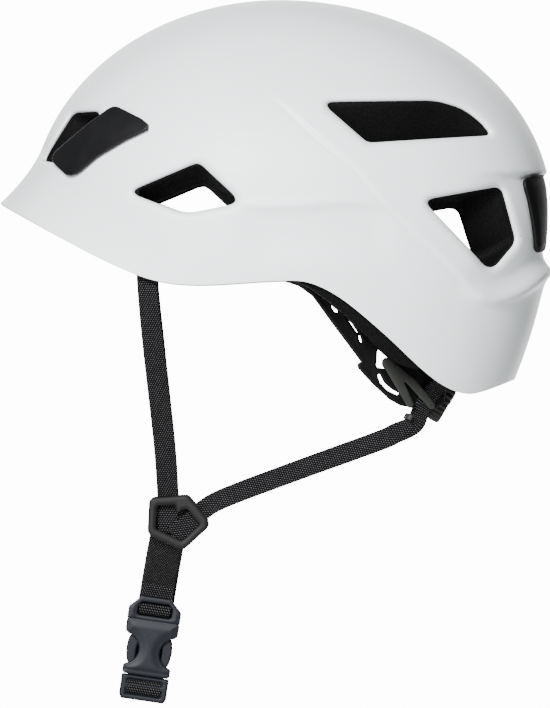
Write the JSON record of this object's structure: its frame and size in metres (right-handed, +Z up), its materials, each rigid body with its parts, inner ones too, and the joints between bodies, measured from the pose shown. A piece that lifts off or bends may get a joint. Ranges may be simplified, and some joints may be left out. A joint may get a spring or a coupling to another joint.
{
  "type": "climbing helmet",
  "caption": "Vented hard-shell climbing helmet with foam liner, geared nape adjuster, headlamp clips and buckled Y-shaped chin strap.",
  "frame": {"origin": "centre of the head opening at brow level, on the helmet's middle plane", "axes": "+Z up towards the crown, -Y the way the wearer faces, +X the wearer's left"},
  "size_m": [0.221, 0.2848, 0.3655],
  "materials": {
    "shell": "satin white",
    "foam": "fine black bead foam",
    "plastic": "matt black",
    "grey": "matt dark grey",
    "buckle": "satin blue-grey",
    "webbing": "woven polyester",
    "pad": "brushed knit over foam",
    "metal": "plated"
  },
  "bodies": {
    "helmet": {"outer_shell": "shell", "foam_liner": "foam", "crown_pad": "pad", "headband_front": "plastic", "forehead_pad": "pad", "temple_pin_left": "plastic", "temple_pin_right": "plastic", "strap_anchor_front_left": "plastic", "strap_anchor_front_right": "plastic", "strap_anchor_rear_left": "plastic", "strap_anchor_rear_right": "plastic", "front_strap_left": "webbing", "front_strap_right": "webbing", "rear_strap_left": "webbing", "rear_strap_right": "webbing", "lower_strap_left": "webbing", "lower_strap_right": "webbing", "buckle_female": "buckle"},
    "cradle": {"side_arm_left": "plastic", "side_arm_right": "plastic"},
    "nape": {"nape_housing": "grey", "nape_cover": "grey", "nape_pad": "pad"},
    "wheel": {"adjuster_wheel": "grey", "pinion": "grey", "wheel_screw": "metal"},
    "arm_end_left": {"rack_left": "plastic", "arm_fork_left": "grey", "strap_guide_left": "grey"},
    "arm_end_right": {"rack_right": "plastic", "arm_fork_right": "grey", "strap_guide_right": "grey"},
    "clip_front_left": {"headlamp_clip_front_left": "plastic"},
    "clip_front_right": {"headlamp_clip_front_right": "plastic"},
    "clip_rear_left": {"headlamp_clip_rear_left": "plastic"},
    "clip_rear_right": {"headlamp_clip_rear_right": "plastic"},
    "divider_left": {"divider_left": "plastic"},
    "divider_right": {"divider_right": "plastic"},
    "buckle_male": {"buckle_male": "buckle"},
    "prong_front": {"buckle_prong_front": "buckle"},
    "prong_rear": {"buckle_prong_rear": "buckle"}
  },
  "joints": [
    {"name": "cradle_tilt", "type": "hinge", "parent": "helmet", "child": "cradle", "pos_m": [0, -0.001, -0.003], "axis": [1, 0, 0], "range_deg": [-12, 5], "deforming": ["rear_strap_left", "rear_strap_right"]},
    {"name": "size_slide", "type": "slide", "parent": "cradle", "child": "nape", "axis": [0, -1, 0], "range_m": [-0.012, 0.01], "deforming": ["side_arm_left", "side_arm_right", "rear_strap_left", "rear_strap_right"]},
    {"name": "rack_left_slide", "type": "slide", "parent": "cradle", "child": "arm_end_left", "axis": [-0.6247, -0.7809, 0], "range_m": [-0.0155, 0.013], "deforming": ["side_arm_left", "rear_strap_left"]},
    {"name": "rack_right_slide", "type": "slide", "parent": "cradle", "child": "arm_end_right", "axis": [0.6247, -0.7809, 0], "range_m": [-0.0155, 0.013], "deforming": ["side_arm_right", "rear_strap_right"]},
    {"name": "wheel_spin", "type": "hinge", "parent": "nape", "child": "wheel", "pos_m": [0, 0.086, -0.0725], "axis": [0, 0.8671, -0.4981], "range_deg": [-92, 77]},
    {"name": "clip_front_left_lift", "type": "hinge", "parent": "helmet", "child": "clip_front_left", "pos_m": [0.07836, -0.074, 0.066], "axis": [-0.5979, -0.1867, 0.7795], "range_deg": [0, 3.5], "stiffness_Nm_per_rad": 0.5},
    {"name": "clip_front_right_lift", "type": "hinge", "parent": "helmet", "child": "clip_front_right", "pos_m": [-0.07836, -0.074, 0.066], "axis": [-0.5979, 0.1867, -0.7795], "range_deg": [0, 3.5], "stiffness_Nm_per_rad": 0.5},
    {"name": "clip_rear_left_lift", "type": "hinge", "parent": "helmet", "child": "clip_rear_left", "pos_m": [0.03704, 0.137, 0.033], "axis": [0.9265, -0.2731, -0.2589], "range_deg": [0, 5], "stiffness_Nm_per_rad": 0.5},
    {"name": "clip_rear_right_lift", "type": "hinge", "parent": "helmet", "child": "clip_rear_right", "pos_m": [-0.03704, 0.137, 0.033], "axis": [0.9265, 0.2731, 0.2589], "range_deg": [0, 5], "stiffness_Nm_per_rad": 0.5},
    {"name": "divider_left_slide", "type": "slide", "parent": "helmet", "child": "divider_left", "axis": [0.4199, -0.07, 0.9049], "range_m": [-0.008, 0.012], "deforming": ["front_strap_left", "rear_strap_left", "lower_strap_left"]},
    {"name": "divider_right_slide", "type": "slide", "parent": "helmet", "child": "divider_right", "axis": [-0.4199, -0.07, 0.9049], "range_m": [-0.008, 0.012], "deforming": ["front_strap_right", "rear_strap_right", "lower_strap_right"]},
    {"name": "buckle_release", "type": "slide", "parent": "helmet", "child": "buckle_male", "axis": [0, -0.1439, -0.9896], "range_m": [0, 0.024], "deforming": ["lower_strap_right"]},
    {"name": "prong_rear_press", "type": "hinge", "parent": "buckle_male", "child": "prong_rear", "pos_m": [0.007, -0.0574, -0.2183], "axis": [1, 0, 0], "range_deg": [0, 6], "stiffness_Nm_per_rad": 0.05},
    {"name": "prong_front_press", "type": "hinge", "parent": "buckle_male", "child": "prong_front", "pos_m": [0.007, -0.07086, -0.21636], "axis": [-1, 0, 0], "range_deg": [0, 6], "stiffness_Nm_per_rad": 0.05}
  ],
  "couplings": [
    {"joint": "rack_left_slide", "follows": "size_slide", "ratio": 1.2806},
    {"joint": "rack_right_slide", "follows": "size_slide", "ratio": 1.2806},
    {"joint": "wheel_spin", "follows": "size_slide", "rad_per_m": 133.33},
    {"joint": "prong_front_press", "follows": "prong_rear_press", "ratio": 1}
  ]
}
